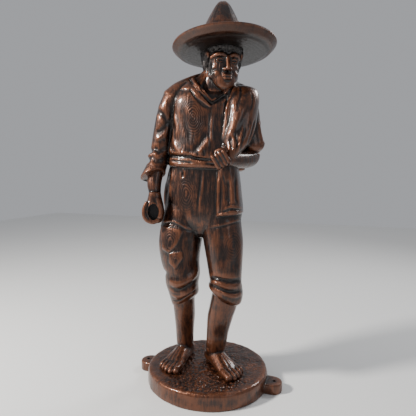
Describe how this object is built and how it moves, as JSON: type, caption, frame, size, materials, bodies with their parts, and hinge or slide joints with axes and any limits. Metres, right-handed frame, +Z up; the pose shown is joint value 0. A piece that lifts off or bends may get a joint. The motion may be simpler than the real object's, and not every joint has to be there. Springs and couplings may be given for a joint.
{
  "type": "cast statue",
  "caption": "Life-size cast aluminium statue of a standing man in a broad hat, cloth over one shoulder, on a round base with bolt-down lugs.",
  "frame": {"origin": "middle of the round base's flat underside, where the statue stands on the ground", "axes": "+Z up through the standing figure, its feet and hips face -Y, and the two bolt lugs lie out along -X and +X"},
  "size_m": [0.724, 0.5674, 1.7748],
  "materials": {
    "cast_aluminium": "Dark chocolate-brown bronze-effect patina with rust-red rubbed high spots, under a clear gloss lacquer."
  },
  "bodies": {
    "root": {"statue": "cast_aluminium"}
  },
  "joints": []
}
